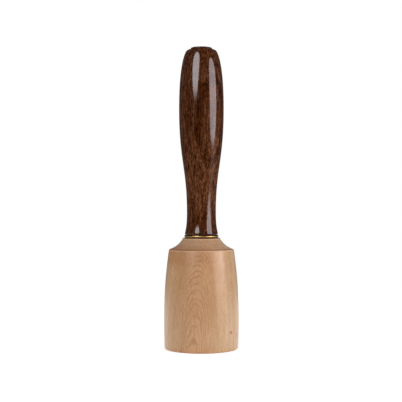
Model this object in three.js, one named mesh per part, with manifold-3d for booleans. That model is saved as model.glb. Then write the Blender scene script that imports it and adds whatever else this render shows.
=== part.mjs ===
// A round carver's mallet: a turned maple head on a turned dark hardwood handle.
// The handle's tenon passes through a brass collar and right through the head, where a wedge driven into
// its kerf from the foot spreads it in the flared end of the bore. A button closes the handle's top end.
// Millimetres, +Z up, origin at the centre of the head's foot, with the turning axis along Z.
import * as THREE from "three";
import { mergeVertices } from "three/addons/utils/BufferGeometryUtils.js";
import Module from "manifold-3d";

// Driving dimensions
const overallLength = 254.5;
const headDiameter = 63.5;
const headLength = 93.6;
const collarHeight = 2.8;
const gripDiameter = 37.8;
const waistDiameter = 24.5;
const tenonDiameter = 19;

const glueLine = 0.1; // between pieces turned to fit each other
const wedgeGap = 0.3; // between the wedge and the kerf walls
const cutOvershoot = 1; // how far a cutter runs past the face it cuts

// Head: a slightly barrelled side, a crisp shoulder and a hollow cove up to a flat cap
const head = {
  radius: headDiameter / 2,
  bellyHeight: 24, // where the side is widest
  sideRadius: 420, // of the barrel's long arc
  footChamfer: 1,
  shoulderHeight: 83.5,
  shoulderBevel: 0.6,
  capRadius: 15.5,
  coveRadius: 20,
};

// Tenon: parallel through the head, then flared over the last stretch by its wedge
const tenon = {
  radius: tenonDiameter / 2,
  flaredRadius: tenonDiameter / 2 + 1.3,
  flareHeight: 32,
};

// Kerf: a saw cut to a relief hole, which the wedge opens from the foot up to where its tip stops
const kerf = { sawCut: 1.8, opensAt: 30, top: 44, reliefRadius: 2 };
const wedge = { length: 29, footThickness: 5, tipThickness: 1.2 };

// Handle above the collar: heights are measured from the foot of the head
const handleFoot = headLength + collarHeight;
const grip = {
  lipRadius: 14,
  lipRounding: 0.9,
  waistRadius: waistDiameter / 2,
  waistHeight: 115,
  swellRadius: gripDiameter / 2,
  swellHeight: 202.6,
  crownRadius: 14.1,
  crownHeight: 249,
  endHeight: overallLength - 1.45,
};

// The grip's outline flows through the lip, waist, swell, crown and end face. Each stretch of it leaves its
// lower point and arrives at its upper one along handles that reach this far [outward, up] from the points.
const stretches = {
  flare: { leaving: [-1, 4.5], arriving: [0, -9.4], steps: 7 },
  taper: { leaving: [0, 37.7], arriving: [0, -43.4], steps: 14 },
  dome: { leaving: [0, 25.5], arriving: [2.7, -7], steps: 12 },
  brow: { leaving: [-1.05, 2.7], arriving: [3.5, -0.45], steps: 7 },
};

const button = { radius: 9.1, rounding: 0.9, spigotRadius: 4, spigotLength: 12 };
const collar = { outerRadius: 14.45, beadDepth: 1.2 };

// How finely round shapes are divided
const facets = { round: 60, button: 36, reliefHole: 16 };
const arcSteps = { side: 10, cove: 8, bead: 8, rounding: 4 };
const coincident = 1e-4; // points closer than this are one point

const maple = new THREE.MeshStandardMaterial({ color: 0xc39b74, roughness: 0.45, metalness: 0 });
const darkHardwood = new THREE.MeshStandardMaterial({ color: 0x4a2a18, roughness: 0.18, metalness: 0 });
const brass = new THREE.MeshStandardMaterial({ color: 0xd2ab5a, roughness: 0.25, metalness: 1 });

const point = (radius, height) => new THREE.Vector2(radius, height);

// The points of an arc from a to b. With bulge 1 it curves to the right of the way from a to b, and with
// bulge -1 to the left.
function arc(a, b, radius, steps, bulge) {
  const chord = new THREE.Vector2().subVectors(b, a);
  const half = chord.length() / 2;
  const toLeft = new THREE.Vector2(-chord.y, chord.x).normalize();
  const centre = new THREE.Vector2()
    .addVectors(a, b)
    .multiplyScalar(0.5)
    .addScaledVector(toLeft, bulge * Math.sqrt(radius * radius - half * half));
  const start = Math.atan2(a.y - centre.y, a.x - centre.x);
  const sweep = bulge * 2 * Math.asin(half / radius);
  return Array.from({ length: steps + 1 }, (_, i) => {
    const angle = start + (sweep * i) / steps;
    return point(centre.x + radius * Math.cos(angle), centre.y + radius * Math.sin(angle));
  });
}

// The points of one stretch of the grip's outline, without its first
function along(from, to, { leaving, arriving, steps }) {
  const handle = (end, [outward, up]) => point(end.x + outward, end.y + up);
  const curve = new THREE.CubicBezierCurve(from, handle(from, leaving), handle(to, arriving), to);
  return curve.getPoints(steps).slice(1);
}

// Profiles run anticlockwise in the half plane of radius and height, so that faces point out
function turned(profile, facetCount) {
  const points = profile.filter((p, i) => i === 0 || p.distanceTo(profile[i - 1]) > coincident);
  const geometry = new THREE.LatheGeometry(points, facetCount);
  geometry.rotateX(Math.PI / 2);
  return geometry;
}

const wasm = await Module();
wasm.setup();

function solid(geometry) {
  const bare = geometry.clone();
  bare.deleteAttribute("normal");
  bare.deleteAttribute("uv");
  const merged = mergeVertices(bare, coincident);
  return new wasm.Manifold(
    new wasm.Mesh({
      numProp: 3,
      vertProperties: merged.attributes.position.array,
      triVerts: new Uint32Array(merged.index.array),
    }),
  );
}

function geometryOf(manifold) {
  const mesh = manifold.getMesh();
  const geometry = new THREE.BufferGeometry();
  geometry.setAttribute("position", new THREE.BufferAttribute(mesh.vertProperties, 3));
  geometry.setIndex(new THREE.BufferAttribute(mesh.triVerts, 1));
  geometry.computeVertexNormals();
  return geometry;
}

function part(name, geometry, material) {
  const mesh = new THREE.Mesh(geometry, material);
  mesh.name = name;
  return mesh;
}

// Radius of the head's barrelled side at a height
function sideAt(height) {
  const rise = height - head.bellyHeight;
  return head.radius - head.sideRadius + Math.sqrt(head.sideRadius ** 2 - rise ** 2);
}

function headGeometry() {
  const bore = tenon.radius + glueLine;
  const flaredBore = tenon.flaredRadius + glueLine;
  const footEdge = point(sideAt(head.footChamfer), head.footChamfer);
  const shoulder = point(sideAt(head.shoulderHeight), head.shoulderHeight);
  const coveFoot = point(shoulder.x - head.shoulderBevel, shoulder.y + head.shoulderBevel);
  const cap = point(head.capRadius, headLength);
  return turned(
    [
      point(flaredBore, 0),
      point(footEdge.x - head.footChamfer, 0),
      ...arc(footEdge, shoulder, head.sideRadius, arcSteps.side, 1),
      ...arc(coveFoot, cap, head.coveRadius, arcSteps.cove, -1),
      point(bore, headLength),
      point(bore, tenon.flareHeight),
      point(flaredBore, 0),
    ],
    facets.round,
  );
}

function collarGeometry() {
  const bore = tenon.radius + glueLine;
  const rim = collar.outerRadius - collar.beadDepth;
  const low = headLength + glueLine;
  const high = handleFoot - glueLine;
  const half = (high - low) / 2;
  const beadRadius = (half ** 2 + collar.beadDepth ** 2) / (2 * collar.beadDepth);
  return turned(
    [
      point(bore, low),
      ...arc(point(rim, low), point(rim, high), beadRadius, arcSteps.bead, 1),
      point(bore, high),
      point(bore, low),
    ],
    facets.round,
  );
}

// The outside of the handle from its foot face up to the edge of its end face
function gripProfile() {
  const lipFoot = point(grip.lipRadius - grip.lipRounding, handleFoot);
  const lip = point(grip.lipRadius, handleFoot + grip.lipRounding);
  const waist = point(grip.waistRadius, grip.waistHeight);
  const swell = point(grip.swellRadius, grip.swellHeight);
  const crown = point(grip.crownRadius, grip.crownHeight);
  const endFace = point(button.radius, grip.endHeight);
  return [
    ...arc(lipFoot, lip, grip.lipRounding, arcSteps.rounding, 1),
    ...along(lip, waist, stretches.flare),
    ...along(waist, swell, stretches.taper),
    ...along(swell, crown, stretches.dome),
    ...along(crown, endFace, stretches.brow),
  ];
}

// An outline of thickness against height, extruded right across the tenon along X
function acrossTheTenon(outline) {
  const geometry = new THREE.ExtrudeGeometry(outline, { depth: 2 * tenonDiameter, bevelEnabled: false });
  geometry.translate(0, 0, -tenonDiameter);
  geometry.rotateX(Math.PI / 2);
  geometry.rotateZ(Math.PI / 2);
  return geometry;
}

// The slot that the saw leaves and the wedge opens, with the relief hole at its root
function kerfCut() {
  const footHalf = wedge.footThickness / 2 + wedgeGap;
  const sawHalf = kerf.sawCut / 2;
  const outline = new THREE.Shape([
    point(-footHalf, -cutOvershoot),
    point(footHalf, -cutOvershoot),
    point(sawHalf, kerf.opensAt),
    point(sawHalf, kerf.top),
    point(-sawHalf, kerf.top),
    point(-sawHalf, kerf.opensAt),
  ]);
  const { reliefRadius } = kerf;
  const relief = new THREE.CylinderGeometry(reliefRadius, reliefRadius, 2 * tenonDiameter, facets.reliefHole);
  relief.rotateZ(Math.PI / 2);
  relief.translate(0, 0, kerf.top);
  return solid(acrossTheTenon(outline)).add(solid(relief));
}

function handleGeometry() {
  const socket = button.spigotRadius + glueLine;
  const socketFloor = grip.endHeight - button.spigotLength - glueLine;
  const uncut = turned(
    [
      point(0, 0),
      point(tenon.flaredRadius, 0),
      point(tenon.radius, tenon.flareHeight),
      point(tenon.radius, handleFoot),
      ...gripProfile(),
      point(socket, grip.endHeight),
      point(socket, socketFloor),
      point(0, socketFloor),
    ],
    facets.round,
  );
  return geometryOf(solid(uncut).subtract(kerfCut()));
}

// The wedge fills the kerf's mouth and is trimmed to the tenon's flared outside
function wedgeGeometry() {
  const footHalf = wedge.footThickness / 2;
  const tipHalf = wedge.tipThickness / 2;
  const outline = new THREE.Shape([
    point(-footHalf, 0),
    point(footHalf, 0),
    point(tipHalf, wedge.length),
    point(-tipHalf, wedge.length),
  ]);
  const tenonOutside = turned(
    [
      point(0, 0),
      point(tenon.flaredRadius, 0),
      point(tenon.radius, tenon.flareHeight),
      point(0, tenon.flareHeight),
    ],
    facets.round,
  );
  return geometryOf(solid(acrossTheTenon(outline)).intersect(solid(tenonOutside)));
}

function buttonGeometry() {
  const seat = grip.endHeight + glueLine;
  const spigotEnd = grip.endHeight - button.spigotLength;
  const rimFoot = point(button.radius, overallLength - button.rounding);
  const rimTop = point(button.radius - button.rounding, overallLength);
  return turned(
    [
      point(0, spigotEnd),
      point(button.spigotRadius, spigotEnd),
      point(button.spigotRadius, seat),
      point(button.radius, seat),
      ...arc(rimFoot, rimTop, button.rounding, arcSteps.rounding, 1),
      point(0, overallLength),
    ],
    facets.button,
  );
}

const mallet = new THREE.Group();
mallet.name = "carvers_mallet";
mallet.add(
  part("head", headGeometry(), maple),
  part("collar_ring", collarGeometry(), brass),
  part("handle", handleGeometry(), darkHardwood),
  part("tenon_wedge", wedgeGeometry(), maple),
  part("end_button", buttonGeometry(), darkHardwood),
);

export default mallet;
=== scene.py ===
import math

import bpy
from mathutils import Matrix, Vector


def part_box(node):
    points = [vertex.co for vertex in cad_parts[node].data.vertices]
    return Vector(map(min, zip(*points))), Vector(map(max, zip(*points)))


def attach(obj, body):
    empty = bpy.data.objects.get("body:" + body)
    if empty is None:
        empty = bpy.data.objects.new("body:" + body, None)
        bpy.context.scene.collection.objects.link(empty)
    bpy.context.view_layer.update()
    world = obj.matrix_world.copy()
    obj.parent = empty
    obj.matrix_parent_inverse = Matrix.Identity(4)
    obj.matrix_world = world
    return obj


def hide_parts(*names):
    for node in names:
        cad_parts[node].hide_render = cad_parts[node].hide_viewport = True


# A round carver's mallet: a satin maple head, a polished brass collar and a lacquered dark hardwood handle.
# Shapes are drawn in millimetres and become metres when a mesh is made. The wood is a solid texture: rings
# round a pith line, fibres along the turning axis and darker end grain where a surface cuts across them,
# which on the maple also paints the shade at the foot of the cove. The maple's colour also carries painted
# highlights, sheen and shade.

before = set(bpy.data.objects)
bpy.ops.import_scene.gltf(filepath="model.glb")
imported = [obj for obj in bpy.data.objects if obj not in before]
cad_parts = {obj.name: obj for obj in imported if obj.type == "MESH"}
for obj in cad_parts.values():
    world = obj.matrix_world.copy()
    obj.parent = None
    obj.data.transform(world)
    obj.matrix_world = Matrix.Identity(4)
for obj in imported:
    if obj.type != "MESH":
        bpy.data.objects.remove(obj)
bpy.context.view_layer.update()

MM = 0.001


def millimetres(node):
    """The lowest and the highest corner of a CAD node's box."""
    low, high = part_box(node)
    return low / MM, high / MM


# The frame's own sizes
_, head_high = millimetres("head")
collar_low, collar_high = millimetres("collar_ring")
_, handle_high = millimetres("handle")
button_low, button_high = millimetres("end_button")
_, wedge_high = millimetres("tenon_wedge")

GLUE_LINE = 0.1  # between pieces turned to fit each other
WEDGE_GAP = 0.3  # between the wedge and each wall of its kerf
HEAD_LENGTH = head_high.z
HANDLE_FOOT = collar_high.z + GLUE_LINE
END_FACE = handle_high.z
OVERALL = button_high.z

# The rest of the shapes. Heights are above the head's foot.
HEAD = {"radius": head_high.x, "belly_height": 24, "side_radius": 420, "chamfer": 1,
        "shoulder_height": 83.5, "bevel": 0.6, "cap_radius": 15.5, "cove_radius": 20}
TENON = {"radius": 9.5, "flared_radius": 10.8, "flare_height": 32}
KERF = {"half_saw_cut": 0.9, "opens_at": 30, "top": 44, "overshoot": 1}
WEDGE = {"half_foot": 2.5, "half_tip": 0.6, "length": wedge_high.z}
BEAD_DEPTH = 1.2
GRIP = {"lip_radius": 14, "lip_rounding": 0.9, "waist_radius": 12.25, "waist_height": 115,
        "swell_radius": handle_high.x, "swell_height": 202.6, "crown_radius": 14.1, "crown_height": 249}
BUTTON = {"radius": button_high.x, "rounding": 0.9, "spigot_radius": 4, "ease": 0.1}

# The grip's outline flows through the lip, waist, swell, crown and end face. Each stretch of it leaves its
# lower point and arrives at its upper one along handles that reach this far (outward, up) from the points.
STRETCHES = {
    "flare": {"leaving": (-1, 4.5), "arriving": (0, -9.4), "steps": 16},
    "taper": {"leaving": (0, 37.7), "arriving": (0, -43.4), "steps": 40},
    "dome": {"leaving": (0, 25.5), "arriving": (2.7, -7), "steps": 28},
    "brow": {"leaving": (-1.05, 2.7), "arriving": (3.5, -0.45), "steps": 14},
}

# How finely the shapes are divided
AROUND = 216
STEPS = {"side": 48, "cove": 20, "bead": 20, "rounding": 6, "ease": 4, "wedge_up": 12, "wedge_across": 8}
COINCIDENT = 1e-6  # points closer than this are one point

# Crisp edges are eased
CRISP = math.radians(25)  # an edge that turns further than this is crisp
EASE = 0.2  # the rounding's radius
EASE_LIMIT = 0.4  # how much of each side beside the edge the rounding may take
FLAT_FROM = 1.2  # where the flat side beside it gets a point, in reaches of the rounding


# ---------------------------------------------------------------- profiles

def at(radius, height):
    return Vector((radius, height))


def arc(a, b, radius, steps, bulge):
    """Points of an arc from a to b, which curves to the right of the way there with bulge 1, left with -1."""
    chord = b - a
    half = chord.length / 2
    to_left = Vector((-chord.y, chord.x)).normalized()
    centre = (a + b) / 2 + to_left * bulge * math.sqrt(radius**2 - half**2)
    start = math.atan2(a.y - centre.y, a.x - centre.x)
    sweep = bulge * 2 * math.asin(half / radius)
    angles = [start + sweep * i / steps for i in range(steps + 1)]
    return [centre + radius * Vector((math.cos(t), math.sin(t))) for t in angles]


def flow(start, end, leaving, arriving, steps):
    """Points of a curve that leaves start and reaches end along handles, without its first point."""
    p1 = start + Vector(leaving)
    p2 = end + Vector(arriving)
    points = []
    for i in range(1, steps + 1):
        t = i / steps
        s = 1 - t
        points.append(s**3 * start + 3 * s * s * t * p1 + 3 * s * t * t * p2 + t**3 * end)
    return points


def eased(profile, radius=EASE):
    """The profile with its crisp corners rounded, and a point on each side that keeps the flats flat."""
    points = [profile[0]]
    for before, corner, after in zip(profile, profile[1:], profile[2:]):
        back = before - corner
        ahead = after - corner
        turn = math.pi - back.angle(ahead)
        if turn < CRISP:
            points.append(corner)
            continue
        reach = min(radius * math.tan(turn / 2), EASE_LIMIT * back.length, EASE_LIMIT * ahead.length)
        start = corner + back.normalized() * reach
        end = corner + ahead.normalized() * reach
        points.append(corner + back.normalized() * reach * FLAT_FROM)
        for i in range(STEPS["ease"] + 1):
            t = i / STEPS["ease"]
            points.append((1 - t) ** 2 * start + 2 * t * (1 - t) * corner + t**2 * end)
        points.append(corner + ahead.normalized() * reach * FLAT_FROM)
    points.append(profile[-1])
    return points


# ---------------------------------------------------------------- meshes

def mesh_object(name, vertices, faces):
    """A smooth-shaded object whose crisp edges stay sharp, from vertices in millimetres."""
    mesh = bpy.data.meshes.new(name)
    mesh.from_pydata([Vector(v) * MM for v in vertices], [], faces)
    mesh.validate()
    mesh.shade_smooth()
    mesh.set_sharp_from_angle(angle=CRISP)
    piece = bpy.data.objects.new(name, mesh)
    bpy.context.scene.collection.objects.link(piece)
    return piece


def turned(name, profile, around=AROUND):
    """A shape of revolution. A solid's profile runs anticlockwise, from axis to axis or back to its start."""
    closed = (profile[0] - profile[-1]).length < COINCIDENT
    rows = profile[:-1] if closed else profile
    vertices, rings = [], []
    for p in rows:
        count = 1 if p.x < COINCIDENT else around
        rings.append([len(vertices) + i for i in range(count)])
        for i in range(count):
            angle = 2 * math.pi * i / around
            vertices.append((p.x * math.cos(angle), p.x * math.sin(angle), p.y))
    pairs = list(zip(rings, rings[1:]))
    if closed:
        pairs.append((rings[-1], rings[0]))
    faces = []
    for lower, upper in pairs:
        for i in range(around):
            j = (i + 1) % around
            if len(lower) == 1:
                faces.append((lower[0], upper[j], upper[i]))
            elif len(upper) == 1:
                faces.append((lower[i], lower[j], upper[0]))
            else:
                faces.append((lower[i], lower[j], upper[j], upper[i]))
    return mesh_object(name, vertices, faces)


def side_at(height):
    """The radius of the head's barrelled side at a height."""
    rise = height - HEAD["belly_height"]
    return HEAD["radius"] - HEAD["side_radius"] + math.sqrt(HEAD["side_radius"] ** 2 - rise**2)


def make_head():
    bore = TENON["radius"] + GLUE_LINE
    flared = TENON["flared_radius"] + GLUE_LINE
    foot_edge = at(side_at(HEAD["chamfer"]), HEAD["chamfer"])
    shoulder = at(side_at(HEAD["shoulder_height"]), HEAD["shoulder_height"])
    cove_foot = shoulder + Vector((-HEAD["bevel"], HEAD["bevel"]))
    cap = at(HEAD["cap_radius"], HEAD_LENGTH)
    profile = [at(flared, 0), at(foot_edge.x - HEAD["chamfer"], 0)]
    profile += arc(foot_edge, shoulder, HEAD["side_radius"], STEPS["side"], bulge=1)
    profile += arc(cove_foot, cap, HEAD["cove_radius"], STEPS["cove"], bulge=-1)
    profile += [at(bore, HEAD_LENGTH), at(bore, TENON["flare_height"]), at(flared, 0)]
    return turned("head_turned", eased(profile))


def make_collar():
    bore = TENON["radius"] + GLUE_LINE
    low, high = collar_low.z, collar_high.z
    rim = collar_high.x - BEAD_DEPTH
    half = (high - low) / 2
    bead_radius = (half**2 + BEAD_DEPTH**2) / (2 * BEAD_DEPTH)
    profile = [at(bore, low)] + arc(at(rim, low), at(rim, high), bead_radius, STEPS["bead"], bulge=1)
    profile += [at(bore, high), at(bore, low)]
    return turned("collar_bead", profile)


def grip_profile():
    """The outside of the handle, from its foot face up to the edge of its end face."""
    rounding = GRIP["lip_rounding"]
    lip_foot = at(GRIP["lip_radius"] - rounding, HANDLE_FOOT)
    lip = at(GRIP["lip_radius"], HANDLE_FOOT + rounding)
    waist = at(GRIP["waist_radius"], GRIP["waist_height"])
    swell = at(GRIP["swell_radius"], GRIP["swell_height"])
    crown = at(GRIP["crown_radius"], GRIP["crown_height"])
    end = at(BUTTON["radius"], END_FACE)
    points = arc(lip_foot, lip, rounding, STEPS["rounding"], bulge=1)
    points += flow(lip, waist, **STRETCHES["flare"])
    points += flow(waist, swell, **STRETCHES["taper"])
    points += flow(swell, crown, **STRETCHES["dome"])
    points += flow(crown, end, **STRETCHES["brow"])
    return points


def cut_away(piece, cutter):
    """Cuts one mesh out of another for good, and removes the cutter."""
    modifier = piece.modifiers.new("cut", "BOOLEAN")
    modifier.operation = "DIFFERENCE"
    modifier.solver = "EXACT"
    modifier.object = cutter
    graph = bpy.context.evaluated_depsgraph_get()
    cut = bpy.data.meshes.new_from_object(piece.evaluated_get(graph))
    piece.modifiers.clear()
    piece.data = cut
    piece.data.shade_smooth()
    piece.data.set_sharp_from_angle(angle=CRISP)
    bpy.data.objects.remove(cutter)


def kerf_cutter():
    """A slab along X that widens from the saw cut to the mouth which the wedge fills."""
    reach = 2 * TENON["radius"]
    mouth = WEDGE["half_foot"] + WEDGE_GAP
    saw = KERF["half_saw_cut"]
    low = -KERF["overshoot"]
    outline = [(-mouth, low), (mouth, low), (saw, KERF["opens_at"]), (saw, KERF["top"]),
               (-saw, KERF["top"]), (-saw, KERF["opens_at"])]
    count = len(outline)
    vertices = [(x, y, z) for x in (-reach, reach) for y, z in outline]
    faces = [tuple(reversed(range(count))), tuple(range(count, 2 * count))]
    for i in range(count):
        j = (i + 1) % count
        faces.append((i, j, count + j, count + i))
    return mesh_object("kerf_cutter", vertices, faces)


def make_handle():
    socket = BUTTON["spigot_radius"] + GLUE_LINE
    socket_floor = button_low.z - GLUE_LINE
    profile = [at(0, 0), at(TENON["flared_radius"], 0), at(TENON["radius"], TENON["flare_height"])]
    profile += [at(TENON["radius"], HANDLE_FOOT)] + grip_profile()
    profile += [at(socket, END_FACE), at(socket, socket_floor), at(0, socket_floor)]
    handle = turned("handle_turned", eased(profile))
    cut_away(handle, kerf_cutter())
    return handle


def make_wedge():
    """A taper in Y whose two ends follow the flared tenon's outside."""
    rows, across = STEPS["wedge_up"], STEPS["wedge_across"]
    thinning = WEDGE["half_tip"] - WEDGE["half_foot"]
    narrowing = TENON["radius"] - TENON["flared_radius"]
    vertices = []
    for row in range(rows + 1):
        height = WEDGE["length"] * row / rows
        half = WEDGE["half_foot"] + thinning * row / rows
        reach = TENON["flared_radius"] + narrowing * height / TENON["flare_height"]
        for side in (1, -1):
            for i in range(across + 1):
                y = side * half * (2 * i / across - 1)
                vertices.append((side * math.sqrt(reach**2 - y**2), y, height))
    ring = 2 * (across + 1)
    faces = [tuple(reversed(range(ring))), tuple(range(rows * ring, (rows + 1) * ring))]
    for row in range(rows):
        for i in range(ring):
            j = (i + 1) % ring
            base = row * ring
            faces.append((base + i, base + j, base + ring + j, base + ring + i))
    return mesh_object("tenon_wedge_split", vertices, faces)


def make_button():
    radius, rounding, spigot = BUTTON["radius"], BUTTON["rounding"], BUTTON["spigot_radius"]
    seat = END_FACE + GLUE_LINE
    rim_foot = at(radius, OVERALL - rounding)
    rim_top = at(radius - rounding, OVERALL)
    profile = [at(0, button_low.z), at(spigot, button_low.z), at(spigot, seat), at(radius, seat)]
    profile += arc(rim_foot, rim_top, rounding, STEPS["rounding"], bulge=1)
    profile += [at(0, OVERALL)]
    return turned("end_button_turned", eased(profile, radius=BUTTON["ease"]))


# ---------------------------------------------------------------- node trees

WHITE = (1, 1, 1, 1)
SEED_SHIFT = (17.3, 5.1, 9.7)  # how far each further seed moves the noise, in its features' sizes
SEED_SHIFT_ALONG = 7.7

# The Mix node has its sockets once for each kind of value: these are the factor, A, B and the result
NUMBER_SOCKETS = (0, 2, 3, 0)
COLOUR_SOCKETS = (0, 6, 7, 2)


class Nodes:
    """A node tree, with short ways to add a node and join it up."""

    def __init__(self, tree):
        self.tree = tree
        self.tree.nodes.clear()

    def put(self, value, socket):
        """Joins a socket to another socket, or sets its value."""
        if isinstance(value, bpy.types.NodeSocket):
            self.tree.links.new(value, socket)
        else:
            socket.default_value = value

    def node(self, kind, **settings):
        made = self.tree.nodes.new(kind)
        for name, value in settings.items():
            setattr(made, name, value)
        return made

    def join(self, kind, *values, output=0, **settings):
        """Adds a node, gives its first inputs these values, and returns one of its outputs."""
        made = self.node(kind, **settings)
        for value, socket in zip(values, made.inputs):
            self.put(value, socket)
        return made.outputs[output]

    def math(self, operation, *values, clamp=False):
        return self.join("ShaderNodeMath", *values, operation=operation, use_clamp=clamp)

    def vector(self, operation, *values):
        output = "Value" if operation == "LENGTH" else "Vector"
        return self.join("ShaderNodeVectorMath", *values, operation=operation, output=output)

    def parts(self, vector):
        made = self.node("ShaderNodeSeparateXYZ")
        self.put(vector, made.inputs[0])
        return made.outputs

    def joined(self, x, y, z):
        return self.join("ShaderNodeCombineXYZ", x, y, z)

    def coordinates(self, kind):
        return self.node("ShaderNodeTexCoord").outputs[kind]

    def place(self):
        """Where a point lies in the row frame, in millimetres."""
        return self.vector("MULTIPLY", self.coordinates("Object"), (1 / MM,) * 3)

    def noise(self, place, size, seed, detail=2, roughness=0.5):
        """Noise with features about size millimetres long in X, Y and Z. Gives its value and its colour."""
        scaled = self.vector("DIVIDE", place, size)
        shifted = self.vector("ADD", scaled, tuple(seed * shift for shift in SEED_SHIFT))
        made = self.node("ShaderNodeTexNoise", noise_dimensions="3D")
        self.put(shifted, made.inputs["Vector"])
        self.put(1.0, made.inputs["Scale"])
        self.put(detail, made.inputs["Detail"])
        self.put(roughness, made.inputs["Roughness"])
        return made.outputs[0], made.outputs[1]

    def noise_along(self, value, size, detail=2, seed=0):
        """Noise along one measure, such as a distance in millimetres."""
        made = self.node("ShaderNodeTexNoise", noise_dimensions="1D")
        scaled = self.math("MULTIPLY_ADD", value, 1 / size, seed * SEED_SHIFT_ALONG)
        self.put(scaled, made.inputs["W"])
        self.put(1.0, made.inputs["Scale"])
        self.put(detail, made.inputs["Detail"])
        return made.outputs[0]

    def ranged(self, value, from_range, to_range=(0.0, 1.0), smooth=True):
        """The value taken from one range to another, and held at its ends."""
        kind = "SMOOTHSTEP" if smooth else "LINEAR"
        return self.join("ShaderNodeMapRange", value, *from_range, *to_range, interpolation_type=kind)

    def added(self, tone, value, amount):
        """The tone made lighter where the value is over a half, and darker where it is under."""
        return self.math("MULTIPLY_ADD", self.math("SUBTRACT", value, 0.5), amount, tone)

    def ramp(self, value, stops):
        """A colour for each value: stops are pairs of a value and a linear colour."""
        made = self.node("ShaderNodeValToRGB")
        elements = made.color_ramp.elements
        while len(elements) < len(stops):
            elements.new(1.0)
        for element, (position, colour) in zip(elements, stops):
            element.position = position
            element.color = (*colour, 1.0)
        self.put(value, made.inputs[0])
        return made.outputs[0]

    def mixed(self, sockets, *values, **settings):
        """The result of a Mix node on these of its sockets, with its factor, A and B from the values."""
        made = self.node("ShaderNodeMix", **settings)
        *inputs, result = sockets
        for value, index in zip(values, inputs):
            self.put(value, made.inputs[index])
        return made.outputs[result]

    def mix(self, factor, a, b, blend="MIX"):
        """The colour a where the factor is 0, and b blended onto it where the factor is 1."""
        a, b = ((*colour, 1.0) if isinstance(colour, tuple) else colour for colour in (a, b))
        return self.mixed(COLOUR_SOCKETS, factor, a, b, data_type="RGBA", blend_type=blend)

    def tinted(self, factor, colour, tint):
        """The colour, multiplied by the tint where the factor is 1."""
        return self.mix(factor, colour, tint, blend="MULTIPLY")

    def between(self, factor, a, b):
        """The number a where the factor is 0, and b where it is 1."""
        return self.mixed(NUMBER_SOCKETS, factor, a, b)

    def bump(self, height, depth):
        """A bump that is depth millimetres deep for a height from 0 to 1."""
        made = self.node("ShaderNodeBump")
        self.put(depth * MM, made.inputs["Distance"])
        self.put(height, made.inputs["Height"])
        return made.outputs[0]

    def output(self, kind, surface):
        self.put(surface, self.node(kind).inputs["Surface"])


class Shader(Nodes):
    """A new material with one principled surface."""

    def __init__(self, name):
        self.material = bpy.data.materials.new(name)
        self.material.use_nodes = True
        super().__init__(self.material.node_tree)
        self.surface = self.node("ShaderNodeBsdfPrincipled")
        self.output("ShaderNodeOutputMaterial", self.surface.outputs[0])

    def finish(self, **inputs):
        """The material, once its surface has these inputs, named as Blender does with _ for each space."""
        for name, value in inputs.items():
            self.put(value, self.surface.inputs[name.replace("_", " ")])
        return self.material


# ---------------------------------------------------------------- materials

# Colours are linear. A tone is a place on its wood's ramp, from the darkest at 0 to the palest at 1, and
# the TONE values say where plain wood lies and how far each feature moves it. A tint multiplies a colour.
# SIZES are of each feature in X, Y and Z or along its one measure, in millimetres. Each wander is a pair:
# how far it reaches, and the size of its waves.
MAPLE_RAMP = [(0.0, (0.375, 0.168, 0.070)), (0.4, (0.452, 0.225, 0.100)),
              (0.62, (0.512, 0.280, 0.139)), (1.0, (0.605, 0.375, 0.215))]
MAPLE_TONE = {"plain": 0.65, "latewood": -0.42, "bands": 0.40, "fibres": 1.0, "side_fibres": 0.55,
              "rays": 0.80, "cloud": 0.30, "painted_sheen": 0.08, "darker_patch": -0.10}
MAPLE_SIZES = {"unevenness": 3.0, "fading": (9, 9, 24), "bands": 5.0, "fibres": (0.9, 0.9, 9),
               "rays": (0.9, 0.9, 1.5), "cloud": (12, 12, 20)}
MAPLE_WANDERS = [(2.4, (22, 22, 45)), (1.3, (4.5, 4.5, 7))]
YEAR_WIDTH = 1.0
YEAR_VARIATION = 0.8  # how far the years lie from even ones, at most, in years
# Painted sheen: the maple is painted paler and greyer away from the pith
SHEEN_AT_FOOT = (14, 48)  # how far from the pith it begins and is at its palest
SHEEN_FLARE = 0.25  # how much further out that is for each mm of height
KNOT_COLOUR = (0.40, 0.165, 0.065)
# Painted highlight: the paler colour painted just below the head's crisp edges, where they catch the lamps
EDGE_HIGHLIGHT_COLOUR = (0.68, 0.42, 0.25)
# The painted sheen's tint
SHEEN_TINT = (1.02, 1.18, 1.36)
# Painted shade on faces that slope up, such as the cove, which the lamps light less
SLOPE_SHADE_TINT = (0.93, 0.93, 1.02)
FOOT_TINT = (1.0, 0.90, 0.80)
# The end grain's darkening, which also paints the shade at the foot of the cove
END_GRAIN_AND_SHADE_TINT = (0.62, 0.48, 0.35)
# Painted shade on the cap, under the collar
CAP_SHADE_TINT = (0.40, 0.28, 0.20)

HARDWOOD_RAMP = [(0.0, (0.013, 0.0016, 0.0003)), (0.35, (0.044, 0.0115, 0.0032)),
                 (0.6, (0.078, 0.0245, 0.0085)), (1.0, (0.175, 0.068, 0.031))]
HARDWOOD_TONE = {"plain": 0.50, "bands": 0.8, "streaks": 1.8, "short": 1.4, "curl": 1.0, "flecks": 0.5,
                 "burl": 0.16, "pores": -0.55}
HARDWOOD_SIZES = {"bands": 1.1, "streaks": (1.2, 1.2, 13), "curl": (1.2, 1.2, 1.9),
                  "short": (0.9, 0.9, 3.4), "fine": (0.6, 0.6, 3.4), "waviness": (5, 5, 9), "turning": 1.6}
HARDWOOD_WANDERS = [(2.5, (13, 13, 40)), (0.5, (3.5, 3.5, 16))]
HARDWOOD_END_TINT = (0.55, 0.5, 0.5)

BRASS_COLOUR = (0.60, 0.38, 0.12)
DULLER_BRASS_COLOUR = (0.46, 0.275, 0.075)
# Painted shade on the brass bead, towards its corners
BEAD_SHADE_COLOUR = (0.040, 0.014, 0.001)


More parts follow.
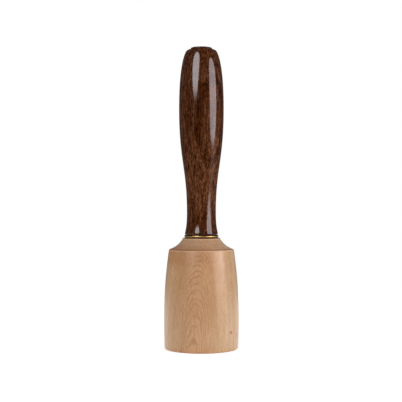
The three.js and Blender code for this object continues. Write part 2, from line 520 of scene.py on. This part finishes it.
def ring_distance(shader, place, pith, lean, wanders):
    """Distance from the pith in mm. The pith starts from pith at height 0 and leans by lean for each mm of
    height. Each wander shifts the rings by up to half its reach."""
    for seed, (reach, size) in enumerate(wanders):
        _, drift = shader.noise(place, size, seed=seed)
        centred = shader.vector("SUBTRACT", drift, (0.5, 0.5, 0.5))
        place = shader.vector("ADD", place, shader.vector("MULTIPLY", centred, (reach, reach, 0)))
    x, y, z = shader.parts(place)
    from_x = shader.math("SUBTRACT", x, shader.math("MULTIPLY_ADD", z, lean[0], pith[0]))
    from_y = shader.math("SUBTRACT", y, shader.math("MULTIPLY_ADD", z, lean[1], pith[1]))
    return shader.vector("LENGTH", shader.joined(from_x, from_y, 0))


def across_fibres(shader):
    """0 on a surface that runs along the fibres, rising to 1 on one that cuts straight across them."""
    return shader.math("ABSOLUTE", shader.parts(shader.coordinates("Normal"))[2])


def inside(shader, place, centre, size):
    """1 round the middle of a patch of wood, such as a knot, and 0 outside it. Its size is a half width."""
    offset = shader.vector("DIVIDE", shader.vector("SUBTRACT", place, centre), size)
    return shader.ranged(shader.vector("LENGTH", offset), (0.4, 1.0), (1.0, 0.0))


def year_lines(shader, place, across):
    """1 on the thin line of latewood that ends each year and 0 between the lines, which fade in places."""
    unevenness = shader.noise_along(across, MAPLE_SIZES["unevenness"])
    shift = shader.math("MULTIPLY", unevenness, YEAR_VARIATION)
    phase = shader.math("FRACT", shader.math("MULTIPLY_ADD", across, 1 / YEAR_WIDTH, shift))
    rising = shader.ranged(phase, (0.5, 0.88))
    falling = shader.ranged(phase, (0.9, 1.0), (1.0, 0.0))
    fading, _ = shader.noise(place, MAPLE_SIZES["fading"], seed=13)
    strength = shader.ranged(fading, (0.35, 0.62), (0.25, 1.0))
    return shader.math("MULTIPLY", shader.math("MULTIPLY", rising, falling), strength)


def painted_light_and_end_grain(shader, colour, height, end_grain, highlit_edges, shaded_above):
    """The colour, with a painted highlight round the heights of the highlit edges, darker near the foot,
    darker on end grain, which also paints shade at the foot of the cove, and with painted shade above the
    height shaded_above."""
    for edge in highlit_edges:
        from_edge = shader.math("ABSOLUTE", shader.math("SUBTRACT", height, edge))
        # painted highlight just below each edge that catches the light
        edge_highlight = shader.ranged(from_edge, (0.2, 0.6), (0.55, 0.0))
        colour = shader.mix(edge_highlight, colour, EDGE_HIGHLIGHT_COLOUR)
    near_foot = shader.ranged(height, (1, 5), (0.9, 0.0))
    colour = shader.tinted(near_foot, colour, FOOT_TINT)
    # end grain darkened, which also paints the shade where the cove meets the shoulder
    colour = shader.tinted(end_grain, colour, END_GRAIN_AND_SHADE_TINT)
    # painted shade on the cap, under the collar
    cap_shade = shader.ranged(height, (shaded_above, shaded_above + 0.3))
    return shader.tinted(cap_shade, colour, CAP_SHADE_TINT)


def maple(name, pith, lean, darker_patch, knots=(), highlit_edges=(), shaded_above=HEAD_LENGTH):
    """Satin oiled maple: thin darker lines between the years, broad soft bands, fine fibres and ray flecks,
    and a painted sheen that makes it paler and greyer away from the pith, except in a darker patch. Painted
    shade darkens its sloping faces."""
    shader = Shader(name)
    place = shader.place()
    height = shader.parts(place)[2]
    across = ring_distance(shader, place, pith, lean, MAPLE_WANDERS)
    latewood = year_lines(shader, place, across)
    bands = shader.noise_along(across, MAPLE_SIZES["bands"], detail=3, seed=2)
    fibres, _ = shader.noise(place, MAPLE_SIZES["fibres"], detail=3, roughness=0.6, seed=1)
    rays, _ = shader.noise(place, MAPLE_SIZES["rays"], detail=3, roughness=0.7, seed=5)
    cloud, _ = shader.noise(place, MAPLE_SIZES["cloud"], detail=3, seed=13)
    # painted sheen: paler and greyer away from the pith
    painted_sheen = shader.ranged(shader.math("MULTIPLY_ADD", height, -SHEEN_FLARE, across), SHEEN_AT_FOOT)
    in_darker_patch = inside(shader, place, *darker_patch)
    painted_sheen = shader.math("MULTIPLY", painted_sheen, shader.math("SUBTRACT", 1.0, in_darker_patch))
    steepness = across_fibres(shader)
    slope = shader.ranged(steepness, (0.3, 0.6))
    end_grain = shader.ranged(steepness, (0.90, 0.95))
    fibre_contrast = shader.between(slope, MAPLE_TONE["side_fibres"], MAPLE_TONE["fibres"])

    tone = shader.math("MULTIPLY_ADD", latewood, MAPLE_TONE["latewood"], MAPLE_TONE["plain"])
    tone = shader.added(tone, bands, MAPLE_TONE["bands"])
    tone = shader.added(tone, fibres, fibre_contrast)
    tone = shader.added(tone, rays, MAPLE_TONE["rays"])
    tone = shader.added(tone, cloud, MAPLE_TONE["cloud"])
    tone = shader.math("MULTIPLY_ADD", painted_sheen, MAPLE_TONE["painted_sheen"], tone)
    tone = shader.math("MULTIPLY_ADD", in_darker_patch, MAPLE_TONE["darker_patch"], tone)
    colour = shader.tinted(painted_sheen, shader.ramp(tone, MAPLE_RAMP), SHEEN_TINT)
    for centre, size in knots:
        colour = shader.mix(inside(shader, place, centre, size), colour, KNOT_COLOUR)
    # painted shade on sloping faces
    colour = shader.tinted(slope, colour, SLOPE_SHADE_TINT)
    colour = painted_light_and_end_grain(shader, colour, height, end_grain, highlit_edges, shaded_above)

    relief = shader.math("MULTIPLY_ADD", latewood, 0.5, shader.math("MULTIPLY", fibres, 0.6))
    roughness = shader.ranged(fibres, (0.25, 0.75), (0.25, 0.33), smooth=False)
    roughness = shader.math("MULTIPLY_ADD", end_grain, 0.2, roughness)
    return shader.finish(
        Base_Color=colour,
        Roughness=roughness,
        Specular_IOR_Level=0.4,
        Normal=shader.bump(relief, 0.012),
    )


def dark_hardwood(name, pith, lean, burl, coat, coat_roughness):
    """Dark hardwood under clear lacquer, streaked from near black to orange brown, with fine pores. In its
    burl it is a little paler, curly and flecked."""
    shader = Shader(name)
    place = shader.place()
    across = ring_distance(shader, place, pith, lean, HARDWOOD_WANDERS)
    bands = shader.noise_along(across, HARDWOOD_SIZES["bands"], detail=3, seed=1)
    streaks, _ = shader.noise(place, HARDWOOD_SIZES["streaks"], detail=3, roughness=0.65, seed=14)
    curl, _ = shader.noise(place, HARDWOOD_SIZES["curl"], roughness=0.6, seed=4)
    short, _ = shader.noise(place, HARDWOOD_SIZES["short"], detail=3, roughness=0.7, seed=23)
    fine, _ = shader.noise(place, HARDWOOD_SIZES["fine"], seed=6)
    pores = shader.ranged(fine, (0.56, 0.68))
    in_burl = inside(shader, place, *burl)
    flecks = shader.math("MULTIPLY", shader.ranged(fine, (0.40, 0.30)), in_burl)
    curly = shader.math("MULTIPLY", shader.math("SUBTRACT", curl, 0.5), in_burl)

    tone = shader.added(HARDWOOD_TONE["plain"], bands, HARDWOOD_TONE["bands"])
    tone = shader.added(tone, streaks, HARDWOOD_TONE["streaks"])
    tone = shader.added(tone, short, HARDWOOD_TONE["short"])
    tone = shader.math("MULTIPLY_ADD", curly, HARDWOOD_TONE["curl"], tone)
    tone = shader.math("MULTIPLY_ADD", flecks, HARDWOOD_TONE["flecks"], tone)
    tone = shader.math("MULTIPLY_ADD", in_burl, HARDWOOD_TONE["burl"], tone)
    tone = shader.math("MULTIPLY_ADD", pores, HARDWOOD_TONE["pores"], tone, clamp=True)
    end_grain = shader.ranged(across_fibres(shader), (0.87, 0.95), (0.0, 0.5))
    colour = shader.tinted(end_grain, shader.ramp(tone, HARDWOOD_RAMP), HARDWOOD_END_TINT)

    waviness, _ = shader.noise(place, HARDWOOD_SIZES["waviness"], detail=1, seed=8)
    turning = shader.noise_along(shader.parts(place)[2], HARDWOOD_SIZES["turning"], detail=1, seed=3)
    orange_peel = shader.math("MULTIPLY_ADD", turning, 0.08, waviness)
    return shader.finish(
        Base_Color=colour,
        Roughness=shader.ranged(streaks, (0.3, 0.7), (0.38, 0.5), smooth=False),
        Specular_IOR_Level=0.0,
        Normal=shader.bump(fine, 0.02),
        Coat_Weight=coat,
        Coat_Roughness=coat_roughness,
        Coat_IOR=1.5,
        Coat_Normal=shader.bump(orange_peel, 0.008),
    )


def polished_brass(crest):
    """Lacquered brass with fine turning lines, in its own colour along its crest and darkened towards the
    corners beside it by painted shade.
    """
    shader = Shader("polished_brass")
    place = shader.place()
    height = shader.parts(place)[2]
    lines = shader.noise_along(height, 0.07)
    cloud, _ = shader.noise(place, (3, 3, 1.5), detail=3, seed=3)
    colour = shader.mix(shader.ranged(cloud, (0.4, 0.75)), BRASS_COLOUR, DULLER_BRASS_COLOUR)
    from_crest = shader.math("ABSOLUTE", shader.math("SUBTRACT", height, crest))
    # painted shade darkening the bead towards its corners
    bead_shade = shader.ranged(from_crest, (0.25, 0.85))
    colour = shader.mix(bead_shade, colour, BEAD_SHADE_COLOUR)
    return shader.finish(
        Base_Color=colour,
        Metallic=1.0,
        Roughness=shader.ranged(cloud, (0.3, 0.8), (0.37, 0.44)),
        Normal=shader.bump(lines, 0.004),
        Coat_Weight=0.4,
        Coat_Roughness=0.3,
        Coat_IOR=1.5,
    )


# ---------------------------------------------------------------- the pieces

def dress(piece, material, node):
    """Gives a piece its material and its place in the frame, where it stands for a CAD node."""
    piece.data.materials.clear()
    piece.data.materials.append(material)
    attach(piece, "root")
    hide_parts(node)


# The grain of each wooden piece. Darker patches, burls and knots are patches with a centre and a half width.
HEAD_GRAIN = {"pith": (-14, -53), "lean": (0.09, -0.12), "darker_patch": ((-18, -20, 79), (26, 36, 12))}
WEDGE_GRAIN = {"pith": (5, 40), "lean": (0.03, 0.02), "darker_patch": ((0, 0, 0), (10, 10, 10))}
HANDLE_GRAIN = {"pith": (-9, 16), "lean": (0.02, -0.03), "burl": ((2, -12, 142), (26, 26, 46))}
BUTTON_GRAIN = {"pith": (14, -9), "lean": (0.02, 0.01), "burl": ((0, 0, 254), (10, 10, 10))}
HEAD_KNOTS = [((24.5, -20, 16), (2.0, 3.5, 1.8)), ((-17, -26.5, 1.5), (1.3, 2.5, 1.0))]

# Painted highlights lie just below the edges of the head's shoulder and its cap, and painted shade darkens
# the cap itself under the collar
HIGHLIT_EDGES = [HEAD["shoulder_height"] - 0.2, HEAD_LENGTH - 0.8]
SHADED_ABOVE = HEAD_LENGTH - 0.5

head_maple = maple("head_maple", **HEAD_GRAIN, knots=HEAD_KNOTS, highlit_edges=HIGHLIT_EDGES, shaded_above=SHADED_ABOVE)
wedge_maple = maple("wedge_maple", **WEDGE_GRAIN)
collar_brass = polished_brass(crest=(collar_low.z + collar_high.z) / 2)
handle_hardwood = dark_hardwood("handle_hardwood", **HANDLE_GRAIN, coat=1, coat_roughness=0.08)
button_hardwood = dark_hardwood("button_hardwood", **BUTTON_GRAIN, coat=0.3, coat_roughness=0.3)

dress(make_head(), head_maple, "head")
dress(make_collar(), collar_brass, "collar_ring")
dress(make_handle(), handle_hardwood, "handle")
dress(make_wedge(), wedge_maple, "tenon_wedge")
dress(make_button(), button_hardwood, "end_button")


# ---------------------------------------------------------------- studio

# In metres: the lamps stand round the upper end of the grip and point at it
LAMP_AIM = Vector((0, 0, 0.235))
LAMP_DISTANCE = 1.3


def softbox(name, azimuth, elevation, width, height, shine, glow, foot, tint):
    """An oval lit panel, so many degrees wide and high as seen from the grip. Azimuth 0 is towards the
    camera, positive to its right. The gloss sees its brightness as shine, in its tint, and it lights the
    wood white, as if it were glow. It fades towards its lower edge over the share foot of its height."""
    a, e = math.radians(azimuth), math.radians(elevation)
    away = Vector((math.sin(a) * math.cos(e), -math.cos(a) * math.cos(e), math.sin(e)))
    across, tall = (2 * LAMP_DISTANCE * math.tan(math.radians(angle) / 2) for angle in (width, height))
    area = math.pi * across * tall / 4
    for use, brightness, colour in (("shine", shine, tint), ("glow", glow, WHITE[:3])):
        data = bpy.data.lights.new(f"{name}_{use}", "AREA")
        data.shape = "ELLIPSE"
        data.size = across
        data.size_y = tall
        data.color = colour
        data.energy = brightness * math.pi * area
        data.use_nodes = True
        nodes = Nodes(data.node_tree)
        from_foot = nodes.parts(nodes.coordinates("UV"))[1]
        strength = nodes.ranged(from_foot, (0.0, foot))
        nodes.output("ShaderNodeOutputLight", nodes.join("ShaderNodeEmission", WHITE, strength))
        lamp = bpy.data.objects.new(f"{name}_{use}", data)
        lamp.location = LAMP_AIM + away * LAMP_DISTANCE
        lamp.rotation_euler = (-away).to_track_quat("-Z", "Y").to_euler()
        lamp.visible_camera = False
        lamp.visible_glossy = use == "shine"
        lamp.visible_diffuse = use == "glow"
        bpy.context.scene.collection.objects.link(lamp)


def studio_world(fill_low=0.46, fill_high=0.68, room_near=0.0, room_far=0.06):
    """White behind the picture and a soft fill on the wood, stronger from above. The gloss sees a room that
    is dark round the camera and dim to the sides and behind the mallet."""
    world = bpy.data.worlds.new("studio")
    world.use_nodes = True
    nodes = Nodes(world.node_tree)
    _, backwards, upwards = nodes.parts(nodes.coordinates("Generated"))
    fill = nodes.ranged(upwards, (0.0, 1.0), (fill_low, fill_high), smooth=False)
    room = nodes.ranged(backwards, (-0.8, 0.5), (room_near, room_far))
    path = nodes.node("ShaderNodeLightPath")
    lit = nodes.between(path.outputs["Is Glossy Ray"], fill, room)
    seen = nodes.between(path.outputs["Is Camera Ray"], lit, 1.0)
    nodes.output("ShaderNodeOutputWorld", nodes.join("ShaderNodeBackground", WHITE, seen))
    bpy.context.scene.world = world


FLOOR_HEIGHT = -0.05  # in millimetres, just clear of the foot


def pale_floor(radius=0.75, fade_from=0.4, reflected_to=0.3, foot_radius=0.034, beyond_foot=0.06,
               colour=(0.8, 0.8, 0.8, 1), glow_seen=0.52, glow_at_foot=0.27, glow_beyond=0.23):
    """A round pale table top, in metres, that fades into the white round its edge. In front of the mallet,
    the gloss sees no more than the stretch reflected_to of it. It glows, so that it shows nearly white, but
    what it glows on the wood is less, and most close round the foot."""
    floor = turned("floor", [at(0, FLOOR_HEIGHT), at(radius / MM, FLOOR_HEIGHT)], around=96)
    material = bpy.data.materials.new("pale_floor")
    material.use_nodes = True
    nodes = Nodes(material.node_tree)
    place = nodes.coordinates("Object")
    from_middle = nodes.vector("LENGTH", place)
    in_front = nodes.math("MULTIPLY", nodes.parts(place)[1], -1)
    path = nodes.node("ShaderNodeLightPath")
    unreflected = nodes.ranged(in_front, (reflected_to / 2, reflected_to))
    unreflected = nodes.math("MULTIPLY", unreflected, path.outputs["Is Glossy Ray"])
    fade = nodes.math("MAXIMUM", nodes.ranged(from_middle, (fade_from, radius)), unreflected)
    pale = nodes.join("ShaderNodeBsdfDiffuse", colour)
    bounce = nodes.ranged(from_middle, (foot_radius, beyond_foot), (glow_at_foot, glow_beyond))
    brightness = nodes.between(path.outputs["Is Diffuse Ray"], glow_seen, bounce)
    glow = nodes.join("ShaderNodeEmission", WHITE, brightness)
    both = nodes.join("ShaderNodeAddShader", pale, glow)
    clear = nodes.join("ShaderNodeBsdfTransparent")
    nodes.output("ShaderNodeOutputMaterial", nodes.join("ShaderNodeMixShader", fade, both, clear))
    floor.data.materials.append(material)


def camera(lens=89.55, sensor_width=36, location=(-0.00034, -0.8467, 0.1248)):
    """Level, square to the mallet and about as high as its middle."""
    data = bpy.data.cameras.new("camera")
    data.sensor_width = sensor_width
    data.lens = lens
    holder = bpy.data.objects.new("camera", data)
    holder.location = location
    holder.rotation_euler = (math.radians(90), 0, 0)
    bpy.context.scene.collection.objects.link(holder)
    bpy.context.scene.camera = holder


softbox("left_softbox", azimuth=-32.8, elevation=26.9, width=36, height=43.3,
        shine=6.7, glow=2.65, foot=0.15, tint=(1, 0.98, 1.02))
softbox("right_softbox", azimuth=62.5, elevation=10.2, width=39.5, height=43.4,
        shine=5.2, glow=4.3, foot=0.17, tint=(1, 0.91, 0.96))
softbox("right_bounce", azimuth=75, elevation=-12, width=30, height=26,
        shine=0.6, glow=0, foot=0.1, tint=(1, 0.85, 0.75))
studio_world()
pale_floor()
camera()
bpy.context.scene.view_settings.view_transform = "Standard"
